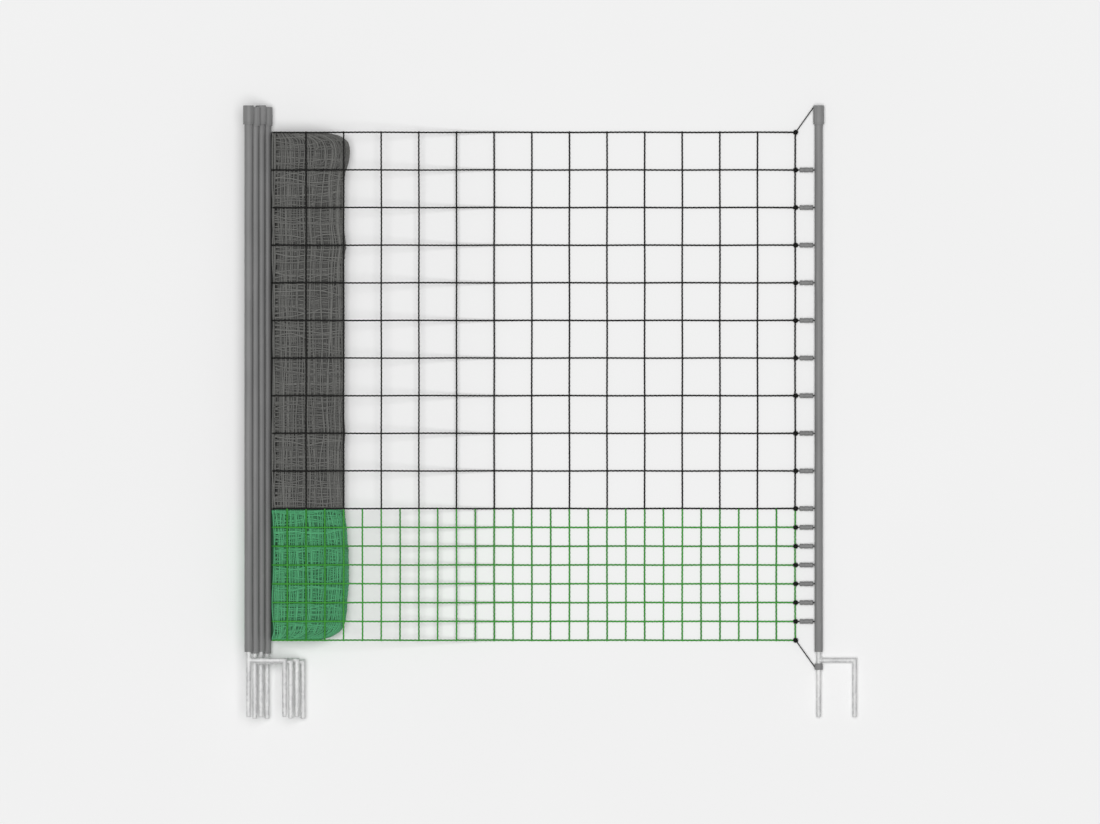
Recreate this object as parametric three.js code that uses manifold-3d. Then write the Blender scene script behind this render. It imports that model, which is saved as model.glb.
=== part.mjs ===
// Poultry netting with its posts, laid flat: one stretch of net is spread out to the end post,
// and the rest is folded beside four bundled posts.
// X runs from the bundle to the end post, Y up the net's height, Z away from the floor.
import * as THREE from 'three';
import { mergeVertices } from 'three/addons/utils/BufferGeometryUtils.js';
import Module from 'manifold-3d';

const wasm = await Module();
wasm.setup();

// Net, all in millimetres
const twine = 3.4; // thickness of a strand
const largeCell = 80; // side of a black cell
const smallCell = 40; // side of a green cell
const largeRows = 10;
const smallRows = 7;
const netRestHeight = 2; // strand centre above the floor, where the net lies on it
const fit = 0.3; // clearance between neighbouring pieces

// Posts
const tubeDiameter = 17.4;
const tubeBelowNet = 24.9; // the foot of the tube under the lowest strand
const tubeAboveNet = 16.9; // from the top strand to the cap's rim
const capDiameter = 23;
const capHeight = 40.5;
const capSocket = 30;
const capChamfer = 1;
const endPostStandoff = 50; // from the end vertical to the end post's axis

// Double spikes
const rodDiameter = 10.4; // over the corners of its eight-sided section
const spikeSpacing = 76.5;
const stepBarBelowTube = 17.7;
const spikeBelowStepBar = 120.8;
const spikeTang = 50; // in the foot of the tube

// Collar on the end post's spike
const collarDiameter = 17.4;
const collarHeight = 13.2;
const collarBelowStepBar = 13.8;

// Ties and ferrules at the end post
const tieDiameter = 2.6;
const knotDiameter = 12;
const knotOffset = 1.1; // knot centre beyond the end vertical
const ferruleDiameter = 10;
const ferruleLength = 28.8;
const ferruleFromVertical = 9.8;
const tieHold = 4; // depth of a tie's end in the post
const collarTieHold = 3;
const capTieHold = 2;
const topTieBelowCapEnd = 5;

// Bundle of posts
const bundledPosts = 4;
const bundlePitch = 13.15; // sideways step from post to post
const bundleFromVertical = 1162.3; // the first post's axis
const bundleDrop = 3.4; // every second post lies this much lower
const lowestPostHeight = 19.5; // axis of the undermost post above the floor

// Folded net
const foldHeight = 75;
const foldEdgeFromVertical = 958.6; // the long straight side of the fold
const wedgeHeight = 46; // the part of the fold that carries the posts from the left
const wedgeOverhang = 8.7; // how far it reaches past the first post's axis
const edgeRadius = 6;
const shoulder = 35; // width of the fold's sloping shoulder at the right
const shoulderDrop = 6;
const swellReach = 38; // half the length of a slight swell in the fold's side

const roundSides = 16;
const rodSides = 8;
const cordSides = 6;

const half = twine / 2;
const netHeight = largeRows * largeCell + smallRows * smallCell;
const seamHeight = smallRows * smallCell; // the black strand where the cells change size
const tubeShown = tubeBelowNet + netHeight + tubeAboveNet; // from the tube's foot to its cap
const knotHeight = knotDiameter / 2;
const endPostHeight = capDiameter / 2;
const stackRise = Math.sqrt((capDiameter + fit) ** 2 - bundlePitch ** 2);
const bundleX = Array.from({ length: bundledPosts }, (_, i) => -bundleFromVertical + i * bundlePitch);
const bundleZ = Array.from({ length: bundledPosts }, (_, i) => (
  lowestPostHeight + (bundledPosts - 1 - i) * stackRise
));
const foldWall = bundleX[bundledPosts - 1] + tubeDiameter / 2 + fit;
const netStart = foldWall + edgeRadius; // the left end of the spread strands, on the fold
const cellsFrom = (cell) => Math.floor((-netStart - half) / cell); // whole cells in the spread stretch
const spreadCells = cellsFrom(largeCell);

const black = new THREE.MeshStandardMaterial({ color: 0x1d1d1b, roughness: 0.75, metalness: 0 });
const green = new THREE.MeshStandardMaterial({ color: 0x3c8732, roughness: 0.75, metalness: 0 });
const foldedBlack = new THREE.MeshStandardMaterial({ color: 0x5b5b59, roughness: 0.9, metalness: 0 });
const foldedGreen = new THREE.MeshStandardMaterial({ color: 0x478961, roughness: 0.9, metalness: 0 });
const greyPlastic = new THREE.MeshStandardMaterial({ color: 0x878787, roughness: 0.5, metalness: 0 });
const zincSteel = new THREE.MeshStandardMaterial({ color: 0xdcdcdc, roughness: 0.4, metalness: 0.8 });

const group = new THREE.Group();

function add(name, geometry, material, x = 0, y = 0, z = 0) {
  const mesh = new THREE.Mesh(geometry, material.clone());
  mesh.name = name;
  mesh.position.set(x, y, z);
  group.add(mesh);
}

function bodyOf(geometry) {
  const plain = geometry.clone();
  plain.deleteAttribute('normal');
  plain.deleteAttribute('uv');
  const merged = mergeVertices(plain, 1e-4);
  return new wasm.Manifold(new wasm.Mesh({
    numProp: 3,
    vertProperties: new Float32Array(merged.attributes.position.array),
    triVerts: new Uint32Array(merged.index.array),
  }));
}

function geometryOf(body) {
  const { vertProperties, triVerts } = body.getMesh();
  return meshFrom(vertProperties, triVerts);
}

function meshFrom(vertices, faces) {
  const geometry = new THREE.BufferGeometry();
  geometry.setAttribute('position', new THREE.BufferAttribute(new Float32Array(vertices), 3));
  geometry.setIndex(new THREE.BufferAttribute(new Uint32Array(faces), 1));
  geometry.computeVertexNormals();
  return geometry;
}

function boxBody(width, depth, height, centre) {
  return bodyOf(new THREE.BoxGeometry(width, depth, height).translate(centre.x, centre.y, centre.z));
}

// A closed solid of revolution about Y through [radius, height] points that start and end on the axis
function turned(points) {
  return new THREE.LatheGeometry(points.map(([r, h]) => new THREE.Vector2(r, h)), roundSides);
}

// A rod or cord through points, mitred at its bends and flat at its ends
function rodThrough(points, radius, sides) {
  const up = new THREE.Vector3(0, 0, 1);
  const last = points.length - 1;
  const along = points.slice(1).map((p, i) => p.clone().sub(points[i]).normalize());
  const vertices = [];
  const faces = [];
  points.forEach((point, i) => {
    const incoming = along[Math.max(i - 1, 0)];
    const mitre = incoming.clone().add(along[Math.min(i, last - 1)]).normalize();
    const across = new THREE.Vector3().crossVectors(up, incoming).normalize();
    const over = new THREE.Vector3().crossVectors(incoming, across);
    for (let k = 0; k < sides; k++) {
      const turn = (k + 0.5) * 2 * Math.PI / sides;
      const spoke = across.clone().multiplyScalar(radius * Math.cos(turn));
      spoke.addScaledVector(over, radius * Math.sin(turn));
      spoke.addScaledVector(incoming, -spoke.dot(mitre) / incoming.dot(mitre));
      vertices.push(...point.clone().add(spoke).toArray());
    }
  });
  for (let i = 0; i < last; i++) {
    for (let k = 0; k < sides; k++) {
      const a = i * sides + k;
      const b = i * sides + (k + 1) % sides;
      faces.push(a, b, b + sides, a, b + sides, a + sides);
    }
  }
  for (let k = 1; k < sides - 1; k++) {
    faces.push(0, k + 1, k);
    faces.push(last * sides, last * sides + k, last * sides + k + 1);
  }
  return bodyOf(meshFrom(vertices, faces));
}

// Height of the spread net's strands: flat on the floor, raised to the knots at the end vertical,
// and climbing in a slack curve onto the fold. It is straight between large verticals.
const foldTopStrand = foldHeight + fit + half;
const climbCells = 5;
const climbStart = spreadCells - 1 - climbCells;

function netHeightAtColumn(column) {
  if (column <= 0) return knotHeight;
  if (column >= spreadCells) return foldTopStrand;
  const climbed = (column - climbStart) / (climbCells + 1);
  if (climbed <= 0) return netRestHeight;
  const eased = Math.sin(climbed * Math.PI / 2) ** 2;
  return netRestHeight + (foldTopStrand - netRestHeight) * eased;
}

function netHeightAt(x) {
  const column = -x / largeCell;
  const nearer = Math.floor(column);
  const share = column - nearer;
  return netHeightAtColumn(nearer) * (1 - share) + netHeightAtColumn(nearer + 1) * share;
}

// The bands of a net along one direction: strands and the gaps between them, with an open gap
// at either end where the crossing strands run on
function bands(centres, runOnStart, runOnEnd) {
  const result = [];
  if (runOnStart !== null) result.push({ from: runOnStart, to: centres[0] - half, strand: false });
  centres.forEach((centre, i) => {
    result.push({ from: centre - half, to: centre + half, strand: true });
    if (i < centres.length - 1) {
      result.push({ from: centre + half, to: centres[i + 1] - half, strand: false });
    }
  });
  if (runOnEnd !== null) {
    result.push({ from: centres[centres.length - 1] + half, to: runOnEnd, strand: false });
  }
  return result;
}

// One fused mesh of square strands over the bands in X and Y
function lattice(across, upward) {
  const vertices = [];
  const faces = [];
  const found = new Map();
  const filled = (i, j) => Boolean(across[i] && upward[j] && (across[i].strand || upward[j].strand));
  const corner = (i, j, side) => {
    const key = `${i},${j},${side}`;
    if (!found.has(key)) {
      const x = i < across.length ? across[i].from : across[i - 1].to;
      const y = j < upward.length ? upward[j].from : upward[j - 1].to;
      found.set(key, vertices.length / 3);
      vertices.push(x, y, netHeightAt(x) + side * half);
    }
    return found.get(key);
  };
  const quad = (a, b, c, d) => faces.push(a, b, c, a, c, d);
  for (let i = 0; i < across.length; i++) {
    for (let j = 0; j < upward.length; j++) {
      if (!filled(i, j)) continue;
      const top = [corner(i, j, 1), corner(i + 1, j, 1), corner(i + 1, j + 1, 1), corner(i, j + 1, 1)];
      const low = [corner(i, j, -1), corner(i + 1, j, -1), corner(i + 1, j + 1, -1), corner(i, j + 1, -1)];
      quad(top[0], top[1], top[2], top[3]);
      quad(low[3], low[2], low[1], low[0]);
      if (!filled(i, j - 1)) quad(low[0], low[1], top[1], top[0]);
      if (!filled(i + 1, j)) quad(low[1], low[2], top[2], top[1]);
      if (!filled(i, j + 1)) quad(low[2], low[3], top[3], top[2]);
      if (!filled(i - 1, j)) quad(low[3], low[0], top[0], top[3]);
    }
  }
  return meshFrom(vertices, faces);
}

function addNets() {
  const verticals = (cell) => Array.from({ length: cellsFrom(cell) + 1 }, (_, i) => -i * cell).reverse();
  const largeLevels = Array.from({ length: largeRows + 1 }, (_, i) => seamHeight + i * largeCell);
  const smallLevels = Array.from({ length: smallRows }, (_, i) => i * smallCell);
  const upperBands = bands(largeLevels, null, null);
  const lowerBands = bands(smallLevels, null, seamHeight - half - fit);
  add('net_upper', lattice(bands(verticals(largeCell), netStart, null), upperBands), black);
  add('net_lower', lattice(bands(verticals(smallCell), netStart, null), lowerBands), green);
}

// Section of the fold across the posts, as [x, z] points: a floor, a wedge at the left that carries
// the bundle, a trough for the undermost post, a wall, and the stacked layers with a soft shoulder
function foldSection(rightEdge) {
  const lowX = bundleX[bundledPosts - 1];
  const reach = tubeDiameter / 2 + fit;
  const slopeTurn = Math.atan2(-bundlePitch, -stackRise);
  const wedgeLeft = bundleX[0] - wedgeOverhang;
  const slopeX = (z) => {
    const footX = lowX + reach * Math.cos(slopeTurn);
    const footZ = lowestPostHeight + reach * Math.sin(slopeTurn);
    return footX - (z - footZ) * bundlePitch / stackRise;
  };
  const points = [[wedgeLeft + edgeRadius, 0], [wedgeLeft, edgeRadius], [wedgeLeft, wedgeHeight - edgeRadius]];
  points.push([wedgeLeft + edgeRadius / 3, wedgeHeight], [slopeX(wedgeHeight), wedgeHeight]);
  const troughSteps = 8;
  for (let i = 0; i <= troughSteps; i++) {
    const turn = slopeTurn + (-slopeTurn) * i / troughSteps;
    const spread = i === 0 || i === troughSteps ? 1 : 1 / Math.cos(slopeTurn / troughSteps / 2);
    points.push([lowX + reach * spread * Math.cos(turn), lowestPostHeight + reach * spread * Math.sin(turn)]);
  }
  const flatEnd = Math.min(-largeCell * spreadCells, rightEdge - 2 * shoulder);
  points.push([foldWall, foldHeight - edgeRadius], [foldWall + edgeRadius / 3, foldHeight - edgeRadius / 3]);
  points.push([foldWall + edgeRadius, foldHeight], [flatEnd, foldHeight]);
  points.push([rightEdge - shoulder, foldHeight - shoulderDrop], [rightEdge - shoulder / 3, foldHeight * 0.83]);
  points.push([rightEdge, foldHeight * 0.6], [rightEdge, edgeRadius * 2], [rightEdge - edgeRadius, 0]);
  return points.reverse();
}

// The fold between two heights of the net; its right side follows [height, bulge] points
function foldedSolid(bulges, stations) {
  const curve = new THREE.CatmullRomCurve3(bulges.map(([y, bulge]) => new THREE.Vector3(bulge, y, 0)));
  const vertices = [];
  const faces = [];
  let count = 0;
  for (let i = 0; i <= stations; i++) {
    const at = curve.getPoint(i / stations);
    const section = foldSection(-foldEdgeFromVertical + at.x);
    count = section.length;
    section.forEach(([x, z]) => vertices.push(x, at.y, z));
  }
  for (let i = 0; i < stations; i++) {
    for (let k = 0; k < count; k++) {
      const a = i * count + k;
      const b = i * count + (k + 1) % count;
      faces.push(a, a + count, b + count, a, b + count, b);
    }
  }
  const end = stations * count;
  const outline = (start) => Array.from({ length: count }, (_, k) => new THREE.Vector2(
    vertices[(start + k) * 3],
    vertices[(start + k) * 3 + 2],
  ));
  for (const [a, b, c] of THREE.ShapeUtils.triangulateShape(outline(0), [])) faces.push(a, b, c);
  for (const [a, b, c] of THREE.ShapeUtils.triangulateShape(outline(end), [])) {
    faces.push(end + a, end + c, end + b);
  }
  const body = bodyOf(meshFrom(vertices, faces));
  return geometryOf(body);
}

function addFolds() {
  const top = netHeight + half;
  const lowSwell = seamHeight + 2 * largeCell; // slight swells where a strand presses out
  const highSwell = seamHeight + 7 * largeCell;
  const bulgesUpper = [
    [seamHeight - half, 0], [lowSwell - swellReach, 0], [lowSwell, 3.6], [lowSwell + swellReach, 0.5],
    [highSwell - 2 * swellReach, 0.5], [highSwell - swellReach, 0.5], [highSwell, 6], [highSwell + swellReach, 0.5],
    [top - 118, 0], [top - 85, 3.5], [top - 45, 12.7], [top - 22, 8], [top - 9, -13], [top - 3, -41], [top, -70],
  ];
  const bulgesLower = [
    [-half, -72], [1.5, -50], [8, -27], [18, -10], [smallCell, 2.5], [1.5 * smallCell, 6], [3 * smallCell, 10.5],
    [4 * smallCell, 11], [5 * smallCell, 9.5], [6 * smallCell, 6], [seamHeight - half - fit, 1.5],
  ];
  add('folded_net_upper', foldedSolid(bulgesUpper, 2 * (bulgesUpper.length - 1)), foldedBlack);
  add('folded_net_lower', foldedSolid(bulgesLower, bulgesLower.length - 1), foldedGreen);
}

// A tube stands on y = 0 with a socket for the spike; cuts are in its own frame
function tubeGeometry(cuts) {
  const radius = tubeDiameter / 2;
  const bore = rodDiameter / 2 + fit;
  const depth = spikeTang + fit;
  const length = tubeShown + capSocket - fit;
  const blank = turned([[0, depth], [bore, depth], [bore, 0], [radius, 0], [radius, length], [0, length]]);
  return geometryOf(cuts.reduce((body, cut) => body.subtract(cut), bodyOf(blank)));
}

// A cap starts at its open rim on y = 0
function capGeometry(cuts) {
  const radius = capDiameter / 2;
  const bore = tubeDiameter / 2 + fit;
  const blank = turned([
    [0, capSocket], [bore, capSocket], [bore, 0], [radius, 0],
    [radius, capHeight - capChamfer], [radius - capChamfer, capHeight], [0, capHeight],
  ]);
  return geometryOf(cuts.reduce((body, cut) => body.subtract(cut), bodyOf(blank)));
}

// A double spike with the foot of its tube at y = 0; its step bar meets the outer spike in a mitre
function spikeGeometry() {
  const radius = rodDiameter / 2;
  const barY = -stepBarBelowTube;
  const tip = barY - spikeBelowStepBar;
  const main = [new THREE.Vector3(0, spikeTang, 0), new THREE.Vector3(0, tip, 0)];
  const outer = [
    new THREE.Vector3(0, barY, 0),
    new THREE.Vector3(spikeSpacing, barY, 0),
    new THREE.Vector3(spikeSpacing, tip, 0),
  ];
  return geometryOf(rodThrough(main, radius, rodSides).add(rodThrough(outer, radius, rodSides)));
}

function addPost(label, x, z, drop, tubeCuts = [], capCuts = []) {
  const foot = -tubeBelowNet - drop;
  add(`post_tube_${label}`, tubeGeometry(tubeCuts), greyPlastic, x, foot, z);
  add(`post_cap_${label}`, capGeometry(capCuts), greyPlastic, x, foot + tubeShown, z);
  add(`double_spike_${label}`, spikeGeometry(), zincSteel, x, foot, z);
}

// A straight line from a knot to its place in the post, as a start and a direction
function tieLine(level, enterX, enterY, hold) {
  const start = new THREE.Vector3(knotOffset, level, knotHeight);
  const entry = new THREE.Vector3(enterX, enterY, endPostHeight);
  const direction = entry.clone().sub(start).normalize();
  return { start, direction, end: entry.addScaledVector(direction, hold) };
}

function tieBody(line, level) {
  const ball = bodyOf(new THREE.SphereGeometry(knotDiameter / 2, 8, 6)
    .translate(knotOffset, level, knotHeight));
  const tail = rodThrough([line.start, line.end], tieDiameter / 2, cordSides);
  const slot = twine + 2 * fit;
  const rise = (knotHeight - netRestHeight) / largeCell * knotDiameter;
  const vertical = boxBody(slot, 2 * knotDiameter, slot, new THREE.Vector3(0, level, knotHeight));
  const horizontal = boxBody(knotDiameter, slot, slot + rise, new THREE.Vector3(
    -knotDiameter / 2,
    level,
    knotHeight,
  ));
  return ball.add(tail).subtract(vertical).subtract(horizontal);
}

// The hole that a tie's end sits in, in the frame of a piece at origin
function tieHole(line, origin) {
  const mouth = line.end.clone().addScaledVector(line.direction, -3 * tieHold);
  const bottom = line.end.clone().addScaledVector(line.direction, fit);
  return rodThrough([mouth.sub(origin), bottom.sub(origin)], tieDiameter / 2 + fit, cordSides);
}

function addEndPost() {
  const tubeSide = endPostStandoff - tubeDiameter / 2;
  const levels = [];
  for (let i = 0; i < smallRows; i++) levels.push(i * smallCell);
  for (let i = 0; i <= largeRows; i++) levels.push(seamHeight + i * largeCell);
  const foot = -tubeBelowNet;
  const capEnd = foot + tubeShown + capHeight;
  const collarY = foot - stepBarBelowTube - collarBelowStepBar;
  const collarSide = endPostStandoff - collarDiameter / 2;
  const lines = levels.map((level) => tieLine(level, tubeSide, level, tieHold));
  lines[0] = tieLine(levels[0], collarSide, collarY, collarTieHold);
  const topIndex = levels.length - 1;
  lines[topIndex] = tieLine(
    levels[topIndex],
    endPostStandoff - capDiameter / 2,
    capEnd - topTieBelowCapEnd,
    capTieHold,
  );
  lines.forEach((line, i) => {
    add(`end_tie_${String(i + 1).padStart(2, '0')}`, geometryOf(tieBody(line, levels[i])), black);
  });

  const sleeved = lines.slice(1, topIndex);
  sleeved.forEach((line, i) => {
    const from = line.start.clone().addScaledVector(line.direction, ferruleFromVertical - knotOffset);
    const to = from.clone().addScaledVector(line.direction, ferruleLength);
    const before = from.clone().addScaledVector(line.direction, -fit);
    const after = to.clone().addScaledVector(line.direction, fit);
    const sleeve = rodThrough([from, to], ferruleDiameter / 2, rodSides)
      .subtract(rodThrough([before, after], tieDiameter / 2 + fit, cordSides));
    add(`ferrule_${String(i + 1).padStart(2, '0')}`, geometryOf(sleeve), greyPlastic);
  });

  const tubeAt = new THREE.Vector3(endPostStandoff, foot, endPostHeight);
  const capAt = new THREE.Vector3(endPostStandoff, foot + tubeShown, endPostHeight);
  const collarAt = new THREE.Vector3(endPostStandoff, collarY, endPostHeight);
  addPost(
    'end',
    endPostStandoff,
    endPostHeight,
    0,
    sleeved.map((line) => tieHole(line, tubeAt)),
    [tieHole(lines[topIndex], capAt)],
  );

  const bore = rodDiameter / 2 + fit;
  const low = -collarHeight / 2;
  const high = collarHeight / 2;
  const radius = collarDiameter / 2;
  const ring = turned([[bore, low], [radius, low], [radius, high], [bore, high], [bore, low]]);
  const collar = bodyOf(ring).subtract(tieHole(lines[0], collarAt));
  add('spike_collar', geometryOf(collar), greyPlastic, collarAt.x, collarAt.y, collarAt.z);
}

addNets();
addFolds();
bundleX.forEach((x, i) => addPost(String(i + 1), x, bundleZ[i], (i % 2) * bundleDrop));
addEndPost();

// The origin is under the middle of the whole part, on the floor
group.updateMatrixWorld(true);
const bounds = new THREE.Box3().setFromObject(group, true);
const middle = bounds.getCenter(new THREE.Vector3());
group.position.set(-middle.x, -middle.y, -bounds.min.z);
group.updateMatrixWorld(true);

export default group;
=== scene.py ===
# Poultry netting laid flat: one stretch spread out to its end post, the rest folded by the bundled posts
import math

import bmesh
import bpy
import numpy as np
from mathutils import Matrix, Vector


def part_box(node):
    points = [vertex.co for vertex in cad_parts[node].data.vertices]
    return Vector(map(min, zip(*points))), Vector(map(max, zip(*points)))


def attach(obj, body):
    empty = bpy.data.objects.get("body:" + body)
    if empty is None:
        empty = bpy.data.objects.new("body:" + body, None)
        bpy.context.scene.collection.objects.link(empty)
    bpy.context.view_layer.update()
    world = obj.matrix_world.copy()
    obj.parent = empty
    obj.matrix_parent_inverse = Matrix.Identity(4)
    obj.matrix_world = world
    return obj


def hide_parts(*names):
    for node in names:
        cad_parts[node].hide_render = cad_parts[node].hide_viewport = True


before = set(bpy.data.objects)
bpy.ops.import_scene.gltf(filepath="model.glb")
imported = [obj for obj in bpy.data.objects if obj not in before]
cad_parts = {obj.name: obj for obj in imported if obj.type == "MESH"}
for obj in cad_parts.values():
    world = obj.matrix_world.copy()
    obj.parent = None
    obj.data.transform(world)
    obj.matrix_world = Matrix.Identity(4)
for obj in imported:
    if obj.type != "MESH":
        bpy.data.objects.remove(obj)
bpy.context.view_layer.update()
scene = bpy.context.scene
chance = np.random.RandomState(41)
print("frame loaded with", len(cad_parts), "nodes")


class Signal:
    # A socket whose arithmetic adds Math nodes to its tree
    def __init__(self, wiring, socket):
        self.wiring = wiring
        self.socket = socket

    def maths(self, operation, first, second=0.0):
        return self.wiring.node("ShaderNodeMath", {"operation": operation}, {0: first, 1: second})

    def __add__(self, other):
        return self.maths("ADD", self, other)

    def __radd__(self, other):
        return self.maths("ADD", other, self)

    def __sub__(self, other):
        return self.maths("SUBTRACT", self, other)

    def __rsub__(self, other):
        return self.maths("SUBTRACT", other, self)

    def __mul__(self, other):
        return self.maths("MULTIPLY", self, other)

    def __rmul__(self, other):
        return self.maths("MULTIPLY", other, self)

    def __truediv__(self, other):
        return self.maths("DIVIDE", self, other)

    def __rtruediv__(self, other):
        return self.maths("DIVIDE", other, self)

    def __mod__(self, other):
        return self.maths("FLOORED_MODULO", self, other)

    def __gt__(self, other):
        return self.maths("GREATER_THAN", self, other)


class Wiring:
    # One node tree and the single way in which nodes are added to it
    def __init__(self, tree):
        self.tree = tree

    def pick(self, sockets, key):
        if isinstance(key, int):
            return sockets[key]
        return next(s for s in sockets if s.name == key and s.enabled)

    def node(self, kind, settings=None, inputs=None, output=0):
        made = self.tree.nodes.new(kind)
        for name, value in (settings or {}).items():
            setattr(made, name, value)
        for key, value in (inputs or {}).items():
            self.feed(self.pick(made.inputs, key), value)
        return Signal(self, self.pick(made.outputs, output))

    def feed(self, socket, value):
        if isinstance(value, Signal):
            self.tree.links.new(value.socket, socket)
        else:
            socket.default_value = value


class Finish(Wiring):
    # A material with one Principled shader, in the shades of its name
    def __init__(self, name):
        self.shade = shades[name]
        self.material = bpy.data.materials.new(name)
        self.material.use_nodes = True
        super().__init__(self.material.node_tree)
        self.shader = self.tree.nodes["Principled BSDF"]

    def set(self, **values):
        for name, value in values.items():
            self.feed(self.shader.inputs[name.replace("_", " ")], value)

    def place(self, scale):
        spot = self.node("ShaderNodeTexCoord", output="Object")
        return self.node("ShaderNodeMapping", inputs={"Vector": spot, "Scale": scale})

    def noise(self, scale, detail=3.0, stretch=(1, 1, 1)):
        settings = {"Vector": self.place(stretch), "Scale": scale, "Detail": detail}
        return self.node("ShaderNodeTexNoise", inputs=settings)

    def value(self, name):
        return self.node("ShaderNodeAttribute", {"attribute_name": name}, output="Fac")

    def tint(self, amount):
        # From the dark shade at 0 to the light one at 1
        ends = {"A": linear(*self.shade["dark"]), "B": linear(*self.shade["light"])}
        mixed = self.node("ShaderNodeMix", {"data_type": "RGBA"}, {"Factor": amount, **ends}, "Result")
        self.set(Base_Color=mixed)

    def bump(self, height, strength, distance):
        settings = {"Height": height, "Strength": strength, "Distance": distance}
        self.set(Normal=self.node("ShaderNodeBump", inputs=settings))


def linear(red, green, blue):
    # A colour read off a screen, 0 to 255, as the shader takes it
    def one(c):
        c = c / 255
        return c / 12.92 if c < 0.04045 else ((c + 0.055) / 1.055) ** 2.4

    return (one(red), one(green), one(blue), 1.0)


# Screen colours of each finish, set so that its surfaces show the right tone in this light
shades = {
    "blackTwine": {"dark": (14, 14, 13), "light": (30, 30, 28), "rough": 0.6, "gloss": 0.2},
    "greenTwine": {"dark": (46, 132, 40), "light": (70, 162, 62), "rough": 0.6, "gloss": 0.25},
    # The folded twine is the spread net's twine painted lighter: painted sheen of the folded layers
    "foldedBlack": {"dark": (88, 88, 86), "light": (126, 126, 123), "rough": 0.8, "gloss": 0.2},
    "foldedGreen": {"dark": (69, 147, 99), "light": (95, 178, 128), "rough": 0.8, "gloss": 0.2},
    # The cores are painted darker than the folded twine over them: painted shade of the deeper layers
    "blackCore": {"dark": (70, 70, 68), "light": (92, 92, 90), "rough": 0.95},
    "greenCore": {"dark": (52, 112, 76), "light": (66, 132, 92), "rough": 0.95},
    "post": {"dark": (108, 108, 108), "light": (144, 144, 144), "rough": 0.5, "gloss": 0.35},
    "cap": {"dark": (106, 106, 106), "light": (146, 146, 146), "rough": 0.52, "gloss": 0.35},
    "ferrule": {"dark": (108, 108, 108), "light": (142, 142, 142), "rough": 0.5, "gloss": 0.35},
    "zinc": {"dark": (176, 177, 178), "light": (246, 246, 245), "rough": 0.56},
    "floor": {"dark": (240, 240, 240), "light": (242, 242, 242), "rough": 0.9},
}


# Noise scales and crystals are counted per metre, pitch and bump heights are in metres
grain = {
    "fibre": 900.0,
    "wear": 35.0,
    "layPitch": 0.006,
    "twineBump": 0.0011,
    "coreStrand": 120.0,
    "coreBump": 0.003,
    "streak": 260.0,
    "cloud": 9.0,
    "scuff": 70.0,
    "plasticBump": 0.0004,
    "crystal": 210.0,
    "run": 90.0,
    "dull": 24.0,
    "zincBump": 0.0005,
    "floorCloud": 2.0,
}


def twineFinish(key, sheen=0.0):
    # Laid plastic twine: fibres, the turns of its lay and painted shade along them, wear, a tone for each
    # strand
    finish = Finish(key)
    fibre = finish.noise(grain["fibre"], 2.0)
    winds = finish.value("along") * (2 * math.pi / grain["layPitch"])
    laid = finish.node("ShaderNodeMath", {"operation": "SINE"}, {0: winds})
    worn = finish.noise(grain["wear"], 4.0)
    # The lay's turns band the tint: painted highlight on its ridges, painted shade in its grooves
    finish.tint(finish.value("tone") * 0.55 + fibre * 0.2 + laid * 0.08 + worn * 0.25)
    finish.set(Roughness=finish.shade["rough"] - 0.1 + worn * 0.2)
    finish.bump(fibre * 0.5 + laid * 0.5, 0.35, grain["twineBump"])
    finish.set(Sheen_Weight=sheen, Specular_IOR_Level=finish.shade["gloss"])
    return finish.material


def coreFinish(key):
    # The deeper layers of the fold as one core in painted shade, with strands both ways
    finish = Finish(key)
    rows = finish.noise(grain["coreStrand"], stretch=(0.35, 1, 1))
    columns = finish.noise(grain["coreStrand"], stretch=(1, 0.35, 1))
    strands = rows * 0.5 + columns * 0.5
    finish.tint(strands)
    finish.set(Roughness=finish.shade["rough"] - 0.05 + strands * 0.05)
    finish.bump(strands, 0.6, grain["coreBump"])
    return finish.material


def plasticFinish(key, fineScale):
    # Extruded or moulded plastic: streaks along the post, fine grain and light scuffs
    finish = Finish(key)
    streak = finish.noise(grain["streak"], stretch=(1, 0.02, 1))
    cloud = finish.noise(grain["cloud"])
    fine = finish.noise(fineScale, 2.0)
    scuff = finish.noise(grain["scuff"], 5.0, (1, 0.25, 1)) > 0.66
    mottle = streak * 0.45 + cloud * 0.35 + fine * 0.2 - 0.5
    finish.tint(mottle * 1.8 + 0.52 + scuff * 0.18)
    finish.set(Roughness=finish.shade["rough"] + streak * 0.12 + scuff * 0.18)
    finish.bump(fine * 0.6 + streak * 0.4, 0.12, grain["plasticBump"])
    finish.set(Specular_IOR_Level=finish.shade["gloss"])
    return finish.material


def zincFinish():
    # Hot-dip galvanised steel: flat crystals, runs along the rod, duller patches
    finish = Finish("zinc")
    crystal = finish.node(
        "ShaderNodeTexVoronoi",
        {"feature": "F1"},
        {"Vector": finish.place((1, 0.6, 1)), "Scale": grain["crystal"], "Randomness": 1.0},
        "Color",
    )
    spangle = finish.node("ShaderNodeSeparateColor", inputs={0: crystal})
    runs = finish.noise(grain["run"], 4.0, (1, 0.15, 1))
    dull = finish.noise(grain["dull"])
    mottle = spangle * 0.25 + runs * 0.45 + dull * 0.3 - 0.5
    finish.tint(mottle * 1.4 + 0.5)
    finish.set(Metallic=0.2 + dull * 0.3, Roughness=finish.shade["rough"] + spangle * 0.15 + runs * 0.1)
    finish.bump(runs * 0.7 + spangle * 0.3, 0.15, grain["zincBump"])
    return finish.material


def floorFinish():
    finish = Finish("floor")
    finish.tint(finish.noise(grain["floorCloud"], 2.0))
    finish.set(Roughness=finish.shade["rough"])
    return finish.material


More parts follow.
